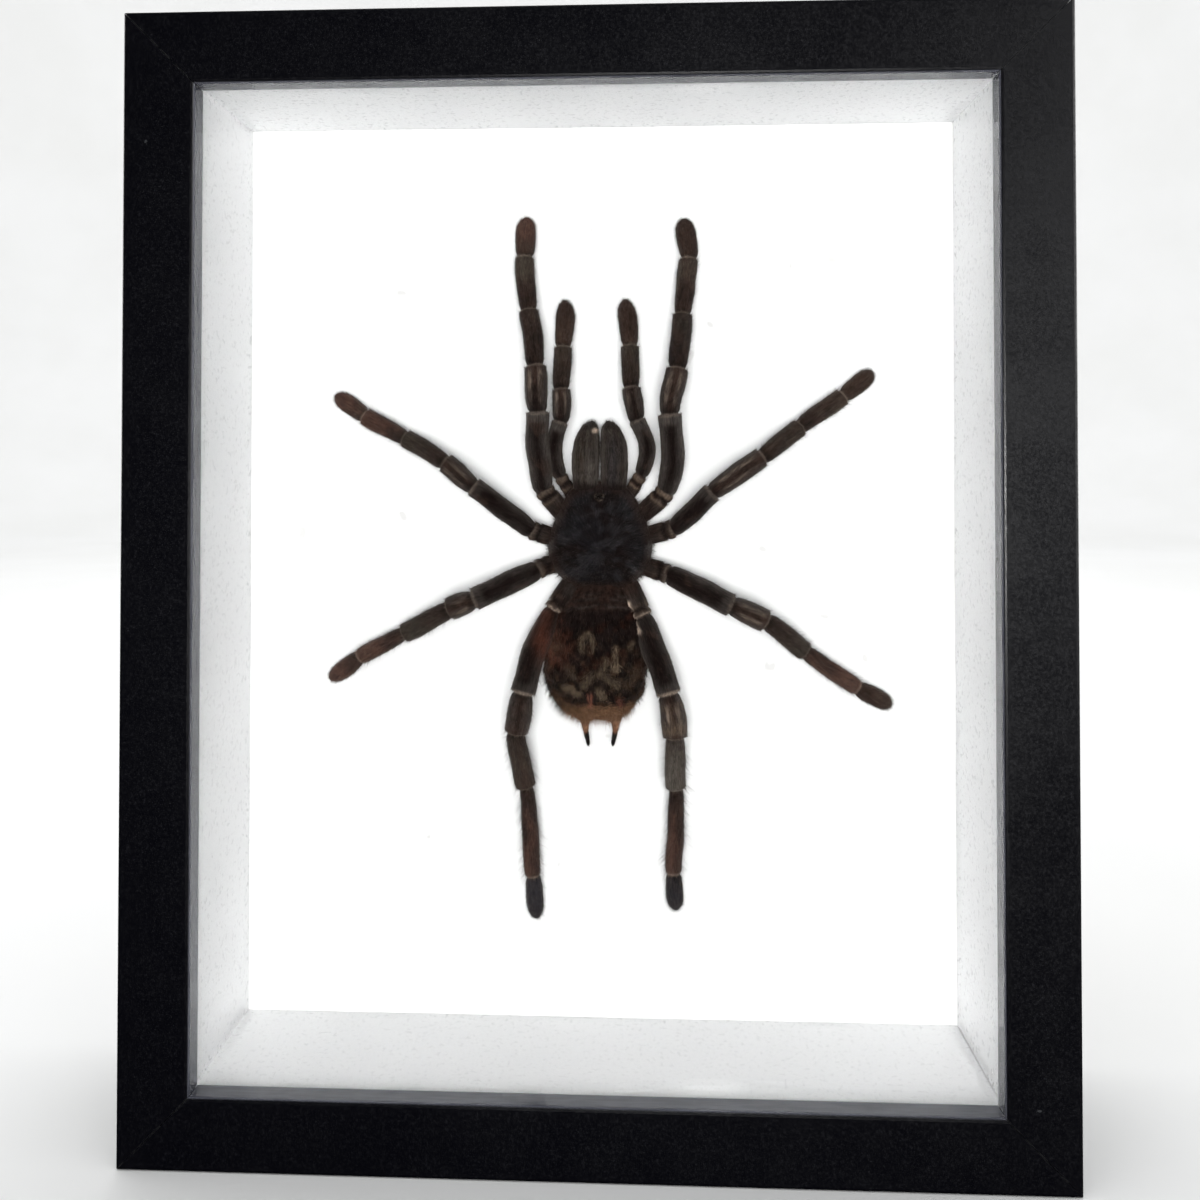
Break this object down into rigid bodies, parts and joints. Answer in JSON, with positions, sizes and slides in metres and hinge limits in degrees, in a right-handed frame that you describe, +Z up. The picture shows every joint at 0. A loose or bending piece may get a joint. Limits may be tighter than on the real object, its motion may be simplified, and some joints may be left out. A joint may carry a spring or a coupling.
{
  "type": "framed tarantula specimen",
  "caption": "Dried tarantula fixed to a white board in a deep black display frame behind glass; it stands on its bottom edge or hangs on a wall.",
  "frame": {"origin": "on the ground, below the middle of the whole object's box", "axes": "+Z up along the frame's long sides, the glazed front faces -Y, +X to the viewer's right"},
  "size_m": [0.2256, 0.053, 0.2763],
  "materials": {
    "black_wood": "black satin foil over wood",
    "clear_glass": "clear, polished",
    "white_liner": "coated, half gloss",
    "white_card": "smooth, matt",
    "hardboard": "pressed fibre, matt",
    "zinced_steel": "zinc plated",
    "dark_cuticle": "dry, velvety, short hairs",
    "jaw_cuticle": "dry, combed short hairs",
    "abdomen_hide": "dry, tufted with hairs",
    "limb_cuticle": "dry, velvety with bare streaks",
    "spinneret_skin": "dry, short hairs",
    "clear_glue": "set hot glue"
  },
  "bodies": {
    "root": {"moulding_top": "black_wood", "moulding_bottom": "black_wood", "moulding_left": "black_wood", "moulding_right": "black_wood", "glazing": "clear_glass", "liner_top": "white_liner", "liner_bottom": "white_liner", "liner_left": "white_liner", "liner_right": "white_liner", "mount_board": "white_card", "back_panel": "hardboard", "frame_point_top_1": "zinced_steel", "frame_point_top_2": "zinced_steel", "frame_point_bottom_1": "zinced_steel", "frame_point_bottom_2": "zinced_steel", "frame_point_left_1": "zinced_steel", "frame_point_left_2": "zinced_steel", "frame_point_right_1": "zinced_steel", "frame_point_right_2": "zinced_steel", "hanger": "zinced_steel", "hanger_nail_left": "zinced_steel", "hanger_nail_right": "zinced_steel", "prosoma": "dark_cuticle", "abdomen": "abdomen_hide", "chelicera_left": "jaw_cuticle", "chelicera_right": "jaw_cuticle", "pedipalp_left": "limb_cuticle", "pedipalp_right": "limb_cuticle", "leg_1_left": "limb_cuticle", "leg_1_right": "limb_cuticle", "leg_2_left": "limb_cuticle", "leg_2_right": "limb_cuticle", "leg_3_left": "limb_cuticle", "leg_3_right": "limb_cuticle", "leg_4_left": "limb_cuticle", "leg_4_right": "limb_cuticle", "spinneret_left": "spinneret_skin", "spinneret_right": "spinneret_skin", "glue_dab": "clear_glue"}
  },
  "joints": []
}
